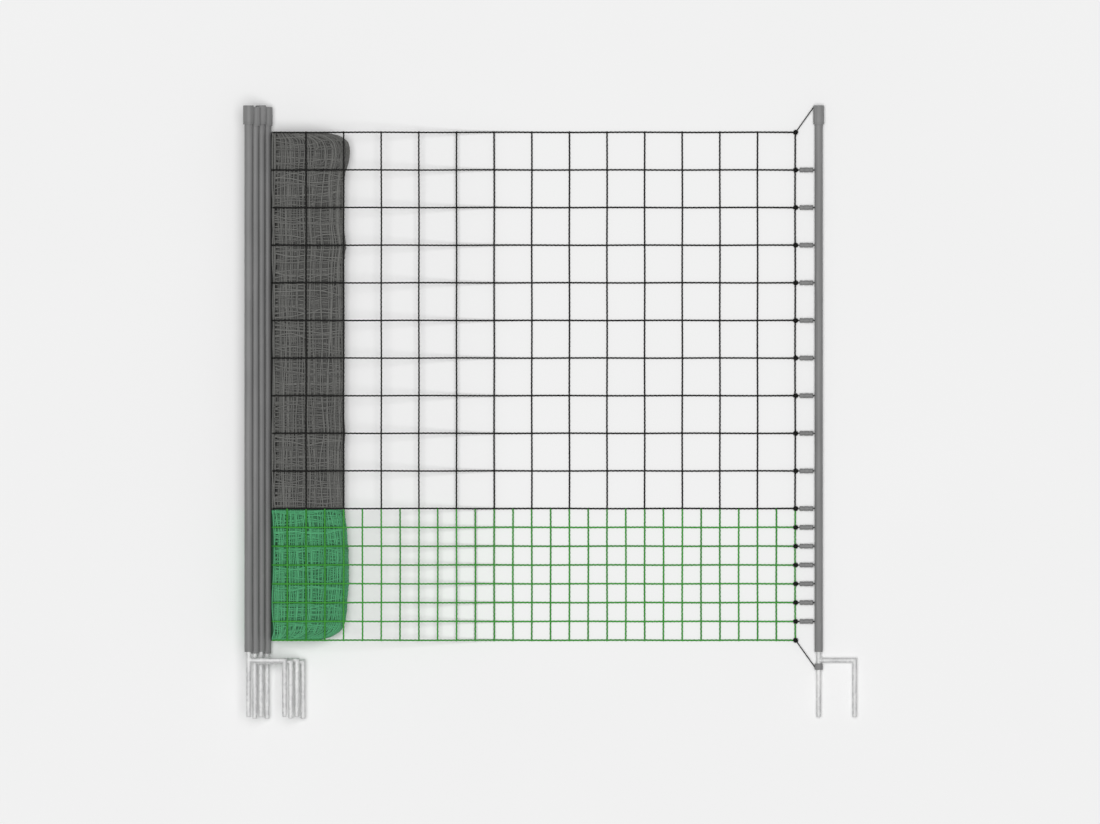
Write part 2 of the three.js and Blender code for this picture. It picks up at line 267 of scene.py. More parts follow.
finishes = {
    "blackTwine": twineFinish("blackTwine"),
    "greenTwine": twineFinish("greenTwine"),
    "foldedBlack": twineFinish("foldedBlack", sheen=0.1),
    "foldedGreen": twineFinish("foldedGreen", sheen=0.1),
    "blackCore": coreFinish("blackCore"),
    "greenCore": coreFinish("greenCore"),
    "post": plasticFinish("post", 1400.0),
    "cap": plasticFinish("cap", 800.0),
    "ferrule": plasticFinish("ferrule", 1200.0),
    "zinc": zincFinish(),
    "floor": floorFinish(),
}
print("finishes made")


def openTree(name, inputs):
    # A geometry tree with its group inputs as signals and their identifiers
    tree = bpy.data.node_groups.new(name, "GeometryNodeTree")
    tree.interface.new_socket(name="Geometry", in_out="INPUT", socket_type="NodeSocketGeometry")
    identifiers = {}
    for label, kind, value in inputs:
        socket = tree.interface.new_socket(name=label, in_out="INPUT", socket_type="NodeSocket" + kind)
        identifiers[label] = socket.identifier
        if value is not None:
            socket.default_value = value
    tree.interface.new_socket(name="Geometry", in_out="OUTPUT", socket_type="NodeSocketGeometry")
    wiring = Wiring(tree)
    entrance = tree.nodes.new("NodeGroupInput")
    signals = {s.name: Signal(wiring, s) for s in entrance.outputs if s.name}
    return wiring, signals, identifiers


def closeTree(wiring, result):
    leaving = wiring.tree.nodes.new("NodeGroupOutput")
    wiring.feed(leaving.inputs["Geometry"], result)


def makeStrandTree():
    # Sweeps a lobed round section along every path and sets a small bead on every marked point
    wiring, given, identifiers = openTree("strands along paths", [
        ("Sides", "Int", 6),
        ("Lobe depth", "Float", 0.0),
        ("Lay length", "Float", 1.0),
        ("Step", "Float", 0.0),
        ("Crease", "Float", math.radians(86)),
        ("Joint size", "Vector", (0.002, 0.002, 0.002)),
        ("Material", "Material", None),
    ])
    marked = wiring.node("GeometryNodeInputNamedAttribute", {"data_type": "FLOAT"}, {"Name": "joint"})
    split = wiring.tree.nodes.new("GeometryNodeSeparateGeometry")
    wiring.feed(split.inputs["Geometry"], given["Geometry"])
    wiring.feed(split.inputs["Selection"], marked > 0.5)
    joints = Signal(wiring, split.outputs["Selection"])
    lines = Signal(wiring, split.outputs["Inverted"])

    path = wiring.node("GeometryNodeMeshToCurve", inputs={"Mesh": lines})
    evened = wiring.node(
        "GeometryNodeResampleCurve",
        {"mode": "LENGTH"},
        {"Curve": path, "Length": given["Step"]},
    )
    path = wiring.node(
        "GeometryNodeSwitch",
        {"input_type": "GEOMETRY"},
        {"Switch": given["Step"] > 0.0, "False": path, "True": evened},
    )
    run = wiring.node("GeometryNodeSplineParameter", output="Length")
    turn = run * (2 * math.pi) / given["Lay length"]
    path = wiring.node("GeometryNodeSetCurveTilt", inputs={"Curve": path, "Tilt": turn})
    path = wiring.node(
        "GeometryNodeStoreNamedAttribute",
        {"data_type": "FLOAT", "domain": "POINT"},
        {"Geometry": path, "Name": "along", "Value": run},
    )

    ring = wiring.node(
        "GeometryNodeCurvePrimitiveCircle",
        inputs={"Resolution": given["Sides"], "Radius": 1.0},
    )
    parity = wiring.node("GeometryNodeInputIndex") % 2.0
    spot = wiring.node("GeometryNodeInputPosition")
    drawnIn = wiring.node(
        "ShaderNodeVectorMath",
        {"operation": "SCALE"},
        {"Vector": spot, "Scale": 1.0 - parity * given["Lobe depth"]},
    )
    ring = wiring.node("GeometryNodeSetPosition", inputs={"Geometry": ring, "Position": drawnIn})
    girth = wiring.node("GeometryNodeInputNamedAttribute", {"data_type": "FLOAT"}, {"Name": "girth"})
    solid = wiring.node(
        "GeometryNodeCurveToMesh",
        inputs={"Curve": path, "Profile Curve": ring, "Scale": girth, "Fill Caps": True},
    )
    solid = wiring.node("GeometryNodeSetShadeSmooth", {"domain": "FACE"}, {"Geometry": solid})
    crease = wiring.node("GeometryNodeInputMeshEdgeAngle", output="Unsigned Angle") > given["Crease"]
    solid = wiring.node(
        "GeometryNodeSetShadeSmooth",
        {"domain": "EDGE"},
        {"Geometry": solid, "Selection": crease, "Shade Smooth": False},
    )

    bead = wiring.node("GeometryNodeMeshIcoSphere", inputs={"Radius": 1.0, "Subdivisions": 2})
    bead = wiring.node("GeometryNodeSetShadeSmooth", {"domain": "FACE"}, {"Geometry": bead})
    beads = wiring.node(
        "GeometryNodeInstanceOnPoints",
        inputs={"Points": joints, "Instance": bead, "Scale": given["Joint size"]},
    )
    beads = wiring.node("GeometryNodeRealizeInstances", inputs={"Geometry": beads})
    both = wiring.tree.nodes.new("GeometryNodeJoinGeometry")
    wiring.tree.links.new(beads.socket, both.inputs[0])
    wiring.tree.links.new(solid.socket, both.inputs[0])
    both = Signal(wiring, both.outputs[0])
    result = wiring.node("GeometryNodeRealizeInstances", inputs={"Geometry": both})
    result = wiring.node(
        "GeometryNodeSetMaterial",
        inputs={"Geometry": result, "Material": given["Material"]},
    )
    closeTree(wiring, result)
    return wiring.tree, identifiers


def makeRepeatTree():
    # Sets a copy of one shape on every point, turned as the point says
    wiring, given, identifiers = openTree("copies on points", [
        ("Shape", "Object", None),
        ("Material", "Material", None),
    ])
    shape = wiring.node("GeometryNodeObjectInfo", inputs={"Object": given["Shape"]}, output="Geometry")
    turn = wiring.node(
        "GeometryNodeInputNamedAttribute",
        {"data_type": "FLOAT_VECTOR"},
        {"Name": "turn"},
    )
    copies = wiring.node(
        "GeometryNodeInstanceOnPoints",
        inputs={"Points": given["Geometry"], "Instance": shape, "Rotation": turn},
    )
    result = wiring.node("GeometryNodeRealizeInstances", inputs={"Geometry": copies})
    result = wiring.node(
        "GeometryNodeSetMaterial",
        inputs={"Geometry": result, "Material": given["Material"]},
    )
    closeTree(wiring, result)
    return wiring.tree, identifiers


strandTree, strandInputs = makeStrandTree()
repeatTree, repeatInputs = makeRepeatTree()


class Paths:
    # Open polylines, each point with a radius and each line with a tone, and lone points for joints
    def __init__(self):
        self.points = []
        self.edges = []
        self.girth = []
        self.tone = []
        self.joint = []

    def add(self, points, girth, tone=None):
        start = len(self.points)
        count = len(points)
        self.points.extend(tuple(float(v) for v in p) for p in points)
        self.edges.extend((start + i, start + i + 1) for i in range(count - 1))
        self.girth.extend([girth] * count if isinstance(girth, float) else girth)
        self.tone.extend([chance.rand() if tone is None else tone] * count)
        self.joint.extend([0.0] * count)

    def mark(self, point):
        self.points.append(tuple(point))
        self.girth.append(0.0)
        self.tone.append(chance.rand())
        self.joint.append(1.0)


def evaluate(name, mesh, tree, settings):
    # The plain mesh that a geometry tree makes of a mesh
    holder = bpy.data.objects.new(name + "Source", mesh)
    scene.collection.objects.link(holder)
    modifier = holder.modifiers.new("shape", "NODES")
    modifier.node_group = tree
    for identifier, value in settings.items():
        modifier[identifier] = value
    reading = bpy.context.evaluated_depsgraph_get()
    result = bpy.data.meshes.new_from_object(holder.evaluated_get(reading))
    bpy.data.objects.remove(holder)
    result.name = name
    return result


def addPiece(name, mesh, nodes=()):
    # A finished mesh as a piece of the scene, in the place of the nodes that it stands for
    piece = bpy.data.objects.new(name, mesh)
    scene.collection.objects.link(piece)
    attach(piece, "root")
    if nodes:
        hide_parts(*nodes)


def sweep(name, paths, finish, sides, lobe=0.0, lay=1.0, step=0.0, jointSize=(0.002, 0.002, 0.002)):
    # The paths as strands; a step of 0 keeps the paths' own points
    mesh = bpy.data.meshes.new(name + "Paths")
    mesh.from_pydata(paths.points, paths.edges, [])
    for label, numbers in (("girth", paths.girth), ("tone", paths.tone), ("joint", paths.joint)):
        layer = mesh.attributes.new(label, "FLOAT", "POINT")
        layer.data.foreach_set("value", numbers)
    return evaluate(name, mesh, strandTree, {
        strandInputs["Sides"]: sides,
        strandInputs["Lobe depth"]: lobe,
        strandInputs["Lay length"]: lay,
        strandInputs["Step"]: step,
        strandInputs["Joint size"]: jointSize,
        strandInputs["Material"]: finishes[finish],
    })


def ringMesh(name, rings, finish, loop=False):
    # A skin over rings of equal length; a ring of one point is a pole, and loop joins last to first
    points = []
    faces = []
    starts = []
    for ring in rings:
        starts.append(len(points))
        points.extend(tuple(float(v) for v in p) for p in ring)
    pairs = list(zip(range(len(rings) - 1), range(1, len(rings))))
    if loop:
        pairs.append((len(rings) - 1, 0))
    for first, second in pairs:
        a, b = starts[first], starts[second]
        lower, upper = len(rings[first]), len(rings[second])
        for k in range(max(lower, upper)):
            following = (k + 1) % max(lower, upper)
            if lower == 1:
                faces.append((a, b + following, b + k))
            elif upper == 1:
                faces.append((a + k, a + following, b))
            else:
                faces.append((a + k, a + following, b + following, b + k))
    mesh = bpy.data.meshes.new(name)
    mesh.from_pydata(points, [], faces)
    mesh.materials.append(finishes[finish])
    mesh.polygons.foreach_set("use_smooth", [True] * len(faces))
    mesh.set_sharp_from_angle(angle=math.radians(35))
    return mesh


def turned(name, profile, place, finish, sides=48, loop=False):
    # A solid of revolution about Y: profile is (radius, distance along Y) from the foot inwards
    rings = []
    for radius, along in profile:
        count = 1 if radius == 0 else sides
        angles = [2 * math.pi * k / sides for k in range(count)]
        x, y, z = place
        rings.append([(x + radius * math.sin(t), y + along, z + radius * math.cos(t)) for t in angles])
    return ringMesh(name, rings, finish, loop)


def centre(node):
    low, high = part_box(node)
    return [(a + b) / 2 for a, b in zip(low, high)]


# The spread net
net = {
    "largeCell": 0.080,
    "smallCell": 0.040,
    "largeRows": 10,
    "smallRows": 7,
    "strand": 0.0017,
    "girth": 0.00196,
    "lobe": 0.18,
    "lay": 0.028,
    "step": 0.0021,
    "joint": (0.0025, 0.0025, 0.0019),
    "restHeight": 0.002,
    "knotHeight": 0.006,
    "climbFrom": 7,
    "climbTo": 13,
    "rowPitch": 0.01,
    "verticalPitch": 0.02,
    "wobble": 0.00025,
    "phase": 6.28,
    "tuck": 0.006,
    "tuckDepth": 0.014,
}
netLow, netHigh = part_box("net_upper")
endX = netHigh[0] - net["strand"]
seamY = netLow[1] + net["strand"]
topY = netHigh[1] - net["strand"]
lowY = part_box("net_lower")[0][1] + net["strand"]
foldTopZ = netHigh[2] - net["strand"]
startX = netLow[0]
foldWall = startX - net["tuck"]


def netZ(x):
    # Flat on the floor, up to the knots at the end, and up a slack curve onto the fold
    column = (endX - x) / net["largeCell"]
    share = min(max((column - net["climbFrom"]) / (net["climbTo"] - net["climbFrom"]), 0.0), 1.0)
    climbed = net["restHeight"] + (foldTopZ - net["restHeight"]) * math.sin(share * math.pi / 2) ** 2
    lift = max(1.0 - column, 0.0) ** 2
    return climbed + (net["knotHeight"] - net["restHeight"]) * lift


def addRow(paths, y):
    # From the end vertical to the fold, and bent down over the fold's wall
    xs = np.arange(endX, startX + 0.004, -net["rowPitch"])
    drift = chance.rand() * net["phase"]
    points = [(x, y + net["wobble"] * math.sin(x * 23 + drift), netZ(x)) for x in xs]
    points.append((startX + 0.002, y, foldTopZ - 0.0002))
    for share in (0.3, 0.6, 0.85, 1.0):
        turn = share * math.pi / 2
        points.append((
            startX - (net["tuck"] - net["strand"]) * math.sin(turn),
            y,
            foldTopZ - net["tuckDepth"] * (1 - math.cos(turn)),
        ))
    paths.add(points, net["girth"])


def addVertical(paths, x, low, high):
    ys = np.linspace(low, high, int((high - low) / net["verticalPitch"]))
    drift = chance.rand() * net["phase"]
    paths.add([(x + net["wobble"] * math.sin(y * 19 + drift), y, netZ(x)) for y in ys], net["girth"])


def makeSpreadNet(name, finish, node, cell, levels, low, high):
    paths = Paths()
    columns = int((endX - startX) / cell) + 1
    for level in levels:
        addRow(paths, level)
    for column in range(columns):
        x = endX - column * cell
        addVertical(paths, x, low, high)
        for level in levels:
            paths.mark((x, level, netZ(x)))
    mesh = sweep(name, paths, finish, 6, net["lobe"], net["lay"], net["step"], net["joint"])
    addPiece(name, mesh, [node])


upperLevels = [seamY + i * net["largeCell"] for i in range(net["largeRows"] + 1)]
lowerLevels = [lowY + i * net["smallCell"] for i in range(net["smallRows"])]
makeSpreadNet("upperNet", "blackTwine", "net_upper", net["largeCell"], upperLevels,
              seamY, topY)
makeSpreadNet("lowerNet", "greenTwine", "net_lower", net["smallCell"], lowerLevels,
              lowY, seamY)
print("spread net made")

# The folded net: strands over, round and at the ends of a core in painted shade
fold = {
    "width": 0.15525,
    "height": 0.075,
    "strand": 0.0015,
    "sides": 5,
    "upperLayers": 26,
    "lowerLayers": 18,
    "skinDepth": 0.0125,
    "coreInset": 0.0115,
    "sideInset": 0.005,
    "postClearance": 0.009,
    "wedgeHeight": 0.046,
    "sideLines": 14,
    "wallLines": 7,
    "bightReach": 0.026,
    "endLayers": 33,
    "cornerStep": 0.006,
    "cornerReach": 0.09,
    "cornerClear": 0.03,
    "cornerRow": 0.012,
    "wallGap": (0.0036, 0.0062),
    "wallFoot": (0.031, 0.040),
    "sideFoot": (0.008, 0.042),
    "shoulder": 0.013,
    "rowPoints": 20,
    "rowSway": 0.007,
    "rowLean": 0.04,
    "stationPitch": 0.016,
    "bightRise": (0.0034, 0.006),
    "wedgeRise": (0.0034, 0.0056),
}
# How far the side lies in from the edge at each height, and the surface's height at each distance in
sideHeights = [0.0, 0.012, 0.045, 0.062, 0.069, 0.075]
sideInsets = [0.006, 0.0, 0.0, 0.012, 0.035, 0.075]
seam = {"low": seamY - net["strand"], "high": topY + net["strand"], "floor": lowY - net["strand"]}
swellAt = {"first": seamY + 2 * net["largeCell"], "second": seamY + 7 * net["largeCell"], "reach": 0.038}
upperBulges = [
    (seam["low"], 0), (swellAt["first"] - swellAt["reach"], 0), (swellAt["first"], 0.0036),
    (swellAt["first"] + swellAt["reach"], 0.0005), (swellAt["second"] - swellAt["reach"], 0.0005),
    (swellAt["second"], 0.006), (swellAt["second"] + swellAt["reach"], 0.0005),
    (seam["high"] - 0.118, 0), (seam["high"] - 0.085, 0.0035), (seam["high"] - 0.062, 0.0105),
    (seam["high"] - 0.045, 0.0127), (seam["high"] - 0.032, 0.0115), (seam["high"] - 0.022, 0.008),
    (seam["high"] - 0.014, -0.002), (seam["high"] - 0.009, -0.013), (seam["high"] - 0.003, -0.041),
    (seam["high"], -0.07),
]
lowerBulges = [
    (seam["floor"], -0.072), (lowY + 0.0015, -0.05), (lowY + 0.008, -0.027), (lowY + 0.018, -0.01),
    (lowY + 0.027, -0.0025), (lowY + 0.04, 0.0025), (lowY + 0.06, 0.006), (lowY + 0.12, 0.0105),
    (lowY + 0.16, 0.011), (lowY + 0.2, 0.0095), (lowY + 0.24, 0.006), (seam["low"], 0.0015),
]
bundle = [centre("post_tube_%d" % (i + 1)) for i in range(4)]
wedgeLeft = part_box("folded_net_upper")[0][0]


def foldEdge(y, bulges):
    return foldWall + fold["width"] + float(np.interp(y, [b[0] for b in bulges], [b[1] for b in bulges]))


def insetAt(z):
    return float(np.interp(z, sideHeights, sideInsets))


def surfaceAt(inwards):
    return float(np.interp(inwards, [0.0] + sideInsets[3:], [0.045] + sideHeights[3:]))


def wedgeRight(z):
    # The slope that the posts lie against
    run = (bundle[3][0] - bundle[0][0]) / (bundle[0][2] - bundle[3][2])
    lean = math.hypot(1, run)
    return bundle[3][0] - fold["postClearance"] * lean - (z - bundle[3][2]) * run


def wander(count, size, waves=2.0):
    # A smooth random offset for each of count points
    knots = max(int(waves) + 2, 3)
    return np.interp(np.linspace(0, 1, count), np.linspace(0, 1, knots), chance.uniform(-size, size, knots))


def rounded(values, passes=2):
    values = np.array(values, dtype=float)
    for _ in range(passes):
        values[1:-1] = (values[:-2] + 2 * values[1:-1] + values[2:]) / 4
    return values


def stationsAlong(low, high):
    # The even places along the fold where a strand may bend
    count = max(int((high - low) / fold["stationPitch"]), 8)
    return np.linspace(low + fold["strand"], high - fold["strand"], count)


def addSkinRow(paths, y, depth, bulges, low, high):
    # Up the wall by the posts, across the top, and over the side, or tucked in at a rounded corner
    r = fold["strand"]
    left = foldWall + r + chance.uniform(*fold["wallGap"])
    edge = foldEdge(y, bulges)
    xs = np.linspace(left + 0.003, edge - fold["shoulder"], fold["rowPoints"])
    sway = rounded(wander(len(xs), fold["rowSway"], 3))
    sway = sway + chance.uniform(-fold["rowLean"], fold["rowLean"]) * (xs - xs.mean())
    ys = np.clip(y + sway, low + r, high - r)
    foot = chance.uniform(*fold["wallFoot"])
    top = fold["height"] - depth
    points = [(left + 0.006, ys[0], foot - 0.001), (left, ys[0], foot + 0.003)]
    points += [(left, ys[0], top - 0.007), (left + 0.001, ys[0], top - 0.003)]
    across = [(x, v, foldEdge(v, bulges) - x) for x, v in zip(xs, ys)]
    across = [(x, v, surfaceAt(inwards) - r - depth) for x, v, inwards in across if inwards > 0.009]
    points += across
    last = across[-1][1]
    edge = foldEdge(last, bulges)
    end = chance.uniform(*fold["sideFoot"])
    if len(across) < len(xs) or edge < foldWall + fold["width"] - fold["cornerRow"]:
        points.append((across[-1][0] + 0.004, last, across[-1][2] - 0.006))
    else:
        side = edge - r - depth * 0.5
        points += [(side - 0.006, last, 0.055 - depth * 0.4), (side, last, 0.046), (side, last, end + 0.003)]
        points += [(side - 0.003, last, end), (side - 0.016, last, end - 0.002)]
    paths.add(points, r)


def addSkinVertical(paths, share, depth, bulges, low, high):
    # Along the fold on its top, at a share of its width
    r = fold["strand"]
    ys = stationsAlong(low, high)
    drift = rounded(wander(len(ys), 0.006, (high - low) / 0.09))
    points = []
    for y, shift in zip(ys, drift):
        edge = foldEdge(y, bulges)
        left = foldWall + r + 0.0005
        x = float(np.clip(left + share * (edge - left) + shift, left, edge - r - 0.001))
        points.append((x, y, surfaceAt(edge - x) - r - depth))
    paths.add(points, r)


def addWallLine(paths, z, low, high):
    # Along the posts, up the wall that faces them
    r = fold["strand"]
    ys = stationsAlong(low, high)
    rise = rounded(wander(len(ys), 0.003, (high - low) / 0.08))
    inwards = chance.uniform(0.0036, 0.005) + np.abs(rounded(wander(len(ys), 0.0015, 6)))
    heights = np.clip(z + rise, 0.031, fold["height"] - 0.006)
    paths.add([(foldWall + r + deeper, y, h) for y, h, deeper in zip(ys, heights, inwards)], r)


def addSideLine(paths, z, bulges, low, high):
    # Along the fold on the side away from the posts
    r = fold["strand"]
    ys = stationsAlong(low, high)
    rise = rounded(wander(len(ys), 0.0025, (high - low) / 0.08))
    inwards = chance.uniform(0.0, 0.004) + np.abs(rounded(wander(len(ys), 0.002, 6)))
    points = []
    for y, up, deeper in zip(ys, rise, inwards):
        height = float(np.clip(z + up, r + 0.0002, 0.062))
        points.append((foldEdge(y, bulges) - insetAt(height) - r - deeper, y, height))
    paths.add(points, r)


def bendBack(edge, y, z, reach, rise, sign=1):
    # A strand that comes out to the edge, turns over and goes back in
    radius = rise / 2
    points = [(edge - sign * reach, y, z)]
    points.append((edge - sign * (radius + 0.004), y + chance.uniform(-0.001, 0.001), z))
    for step in range(5):
        turn = math.pi * (step / 4 - 0.5)
        points.append((
            edge - sign * (radius - radius * math.cos(turn)),
            y,
            z + radius + radius * math.sin(turn),
        ))
    points.append((edge - sign * (radius + 0.004), y + chance.uniform(-0.001, 0.001), z + rise))
    points.append((edge - sign * reach, y, z + rise))
    return points


def addBights(paths, count, bulges, low, high):
    # Layers that turn back at the side away from the posts
    r = fold["strand"]
    for index in range(count):
        y = low + (high - low) * (index + chance.rand()) / count
        y = min(max(y, low + 2 * r), high - 2 * r)
        z = chance.uniform(r + 0.0005, 0.056)
        rise = chance.uniform(*fold["bightRise"])
        edge = foldEdge(y, bulges) - insetAt(z + rise) - r - chance.uniform(0, 0.0025)
        paths.add(bendBack(edge, y, z, fold["bightReach"], rise), r)


def addWedge(paths, bightCount, low, high):
    # The left side of the fold, where its first layers lie under the posts
    r = fold["strand"]
    top = fold["wedgeHeight"] - r
    ys = stationsAlong(low, high)
    for z in np.linspace(r + 0.002, top, 11):
        rise = rounded(wander(len(ys), 0.0018, 6))
        inwards = chance.uniform(0.0003, 0.003)
        heights = np.clip(z + rise, r, top)
        paths.add([(wedgeLeft + r + inwards, y, h) for y, h in zip(ys, heights)], r)
    for x in np.linspace(wedgeLeft + 2.5 * r, wedgeRight(top) - 2 * r, 3):
        drift = rounded(wander(len(ys), 0.001, 6))
        paths.add([(x + d, y, top) for y, d in zip(ys, drift)], r)
    for index in range(bightCount):
        y = low + 2 * r + (high - low - 4 * r) * (index + chance.rand()) / bightCount
        z = chance.uniform(r + 0.0005, top - 0.006)
        reach = min(0.016, wedgeRight(z + 0.006) - r - wedgeLeft)
        rise = chance.uniform(*fold["wedgeRise"])
        paths.add(bendBack(wedgeLeft + r + 0.0005, y, z, reach, rise, -1), r)


def outlineFrom(bulges, y, inwards, reach):
    # Heights of the net at even steps along the fold's outline, from one end of it
    ys = y + inwards * np.linspace(0, reach, 300)
    xs = np.array([foldEdge(v, bulges) for v in ys])
    run = np.concatenate(([0], np.cumsum(np.hypot(np.diff(xs), np.diff(ys)))))
    return np.interp(np.arange(0, run[-1], fold["cornerStep"]), run, ys)


def addEndRows(paths, y, inwards, bulges, wraps):
    # Layer over layer at an end of the fold; at the outer end they run on round its corner
    r = fold["strand"]
    corner = outlineFrom(bulges, y, inwards, fold["cornerReach"])
    for z in np.linspace(r + 0.0004, fold["height"] - r, fold["endLayers"]):
        depth = r + chance.uniform(0.0, 0.0035)
        yy = y + inwards * depth
        inset = insetAt(z) + r + chance.uniform(0.0, 0.002)
        edge = foldEdge(yy, bulges) - inset
        spans = []
        if z < bundle[3][2] - fold["postClearance"] - r:
            spans.append((wedgeLeft + r + 0.0003, edge))
        else:
            if z < fold["wedgeHeight"] - r:
                spans.append((wedgeLeft + r + 0.0003, wedgeRight(z) - r))
            spans.append((foldWall + r + 0.0003, edge))
        for left, right in spans:
            count = max(int((right - left) / 0.009), 3)
            xs = np.linspace(left, right, count)
            waves = rounded(wander(count, 0.0008, 4))
            line = [(x, yy + inwards * abs(w), z + w * 0.5) for x, w in zip(xs, waves)]
            line.insert(0, (left + 0.0015, yy + inwards * 0.006, z))
            if wraps and right == edge:
                passed = [v for v in corner if inwards * (v - yy) > 0]
                count = max(int(len(passed) * chance.uniform(0.35, 1.0)), 3)
                rise = rounded(wander(count, 0.0015, 3))
                line += [(foldEdge(v, bulges) - inset, v, z + up) for v, up in zip(passed, rise)]
                last = line[-1]
                line.append((last[0] - 0.006, last[1] + inwards * 0.003, last[2]))
            else:
                line.append((right - 0.0015, yy + inwards * 0.006, z))
            paths.add([(x, v, float(np.clip(h, r, fold["height"] - r))) for x, v, h in line], r)


def foldStrands(name, finish, node, low, high, cell, layers, bulges, bights, outerEnd):
    paths = Paths()
    for layer in range(layers):
        depth = fold["skinDepth"] * layer / layers
        first = low + chance.rand() * cell
        for y in np.arange(first, high - fold["strand"], cell):
            addSkinRow(paths, y, depth, bulges, low, high)
        across = int(fold["width"] / cell) + 2
        offset = chance.rand()
        for column in range(across):
            addSkinVertical(paths, (column + offset) / across, depth, bulges, low, high)
    for z in np.linspace(0.004, 0.058, fold["sideLines"]):
        addSideLine(paths, z, bulges, low, high)
    for z in np.linspace(0.034, 0.066, fold["wallLines"]):
        addWallLine(paths, z, low, high)
    clear = fold["cornerClear"]
    if outerEnd == "high":
        addBights(paths, bights, bulges, low, high - clear)
    else:
        addBights(paths, bights, bulges, low + clear, high)
    addWedge(paths, bights // 3, low, high)
    addEndRows(paths, low, 1, bulges, outerEnd == "low")
    addEndRows(paths, high, -1, bulges, outerEnd == "high")
    addPiece(name, sweep(name, paths, finish, fold["sides"]), [node])


def coreSection(y, bulges, inset, side):
    # Counter-clockwise outline of the core across the posts, seen from the foot of the posts
    edge = foldEdge(y, bulges) - side
    reach = fold["postClearance"] + 0.0015
    low = bundle[3]
    top = fold["height"] - inset
    points = [(wedgeLeft + side, 0.0008), (edge - 0.006, 0.0008), (edge, 0.012), (edge, 0.040)]
    points += [(edge - 0.010, 0.054), (edge - 0.030, top - 0.005), (edge - 0.068, top)]
    points += [(foldWall + 0.013, top), (foldWall + 0.009, top - 0.006), (foldWall + 0.009, 0.032)]
    points.append((foldWall + 0.0025, low[2]))
    for step in range(1, 8):
        turn = -math.radians(145) * step / 8
        points.append((low[0] + (reach + 0.001) * math.cos(turn), low[2] + reach * math.sin(turn)))
    crest = fold["wedgeHeight"] - 0.004
    points += [(wedgeRight(crest) - 0.002, crest), (wedgeLeft + side, crest - 0.002)]
    return points


def foldCore(name, finish, low, high, bulges, stations):
    rings = []
    ys = np.linspace(low, high, stations)
    for y in ys:
        rings.append([(x, y, z) for x, z in coreSection(y, bulges, fold["coreInset"], fold["sideInset"])])
    mesh = ringMesh(name, rings, finish)
    count = len(rings[0])
    shape = bmesh.new()
    shape.from_mesh(mesh)
    shape.verts.ensure_lookup_table()
    shape.faces.new([shape.verts[k] for k in range(count)])
    last = (len(rings) - 1) * count
    shape.faces.new([shape.verts[last + k] for k in reversed(range(count))])
    bmesh.ops.recalc_face_normals(shape, faces=shape.faces)
    shape.to_mesh(mesh)
    shape.free()
    addPiece(name, mesh)


# The folded strands are in the lighter colours of painted sheen
foldStrands("foldedUpperNet", "foldedBlack", "folded_net_upper", seam["low"],
            seam["high"], net["largeCell"], fold["upperLayers"], upperBulges, 300, "high")
foldStrands("foldedLowerNet", "foldedGreen", "folded_net_lower", seam["floor"],
            seam["low"] - 0.0003, net["smallCell"], fold["lowerLayers"], lowerBulges, 200, "low")
# The cores stand for the deeper layers, in the darker colours of painted shade
foldCore("foldedUpperCore", "blackCore", seam["low"] + 0.001, seam["high"] - 0.0045,
         upperBulges, 60)
foldCore("foldedLowerCore", "greenCore", seam["floor"] + 0.0045, seam["low"] - 0.001,
         lowerBulges, 36)
print("folded net made")

# Posts, caps and double spikes
post = {
    "tubeRadius": 0.0087,
    "tubeEdge": 0.0006,
    "boreRadius": 0.0055,
    "boreDepth": 0.0503,
    "capRadius": 0.0115,
    "capSocketRadius": 0.0090,
    "capSocket": 0.030,
    "capHeight": 0.0405,
}
spike = {
    "radius": 0.0050,
    "tang": 0.050,
    "spacing": 0.0765,
    "barDrop": 0.0177,
    "reach": 0.1208,
    "tipChamfer": 0.0012,
    "bead": 0.0005,
    "sides": 28,
}
# The weld where the step bar meets the main spike: distance from its axis, and radius
barWeld = [(0.0035, 0.0062), (0.0050, 0.0061), (0.0062, 0.0057), (0.0074, 0.0053), (0.0086, 0.0050)]


def tubeProfile(length):
    r = post["tubeRadius"]
    edge = post["tubeEdge"]
    bore = post["boreRadius"]
    return [
        (0, post["boreDepth"]), (bore, post["boreDepth"]), (bore, edge), (bore + edge, 0), (r - edge, 0),
        (r - edge * 0.3, edge * 0.3), (r, edge), (r, length - edge), (r - edge, length), (0, length),
    ]


def capProfile():
    r = post["capRadius"]
    h = post["capHeight"]
    socket = post["capSocketRadius"]
    return [
        (0, post["capSocket"]), (socket, post["capSocket"]), (socket, 0.0005), (socket + 0.0005, 0),
        (r - 0.0005, 0), (r - 0.00012, 0.00015), (r, 0.0006), (r, 0.0030), (r - 0.0005, 0.0034),
        (r - 0.0005, 0.0041), (r, 0.0045), (r, h - 0.0016), (r - 0.0003, h - 0.0008),
        (r - 0.0009, h - 0.0002), (r - 0.0016, h), (0.0078, h), (0.0074, h - 0.0006), (0, h - 0.0006),
    ]


def rodRings(points, radii, sides):
    # Rings along a level path, mitred at its corners, with a pole at either end
    points = [np.array(p, dtype=float) for p in points]
    along = [(b - a) / np.linalg.norm(b - a) for a, b in zip(points, points[1:])]
    rings = [[points[0]]]
    for i, (point, radius) in enumerate(zip(points, radii)):
        incoming = along[max(i - 1, 0)]
        mitre = incoming + along[min(i, len(along) - 1)]
        across = np.cross((0, 0, 1), incoming)
        over = np.cross(incoming, across)
        ring = []
        for k in range(sides):
            turn = 2 * math.pi * k / sides
            spoke = radius * (math.cos(turn) * across + math.sin(turn) * over)
            ring.append(point + spoke - incoming * np.dot(spoke, mitre) / np.dot(incoming, mitre))
        rings.append(ring)
    rings.append([points[-1]])
    return rings


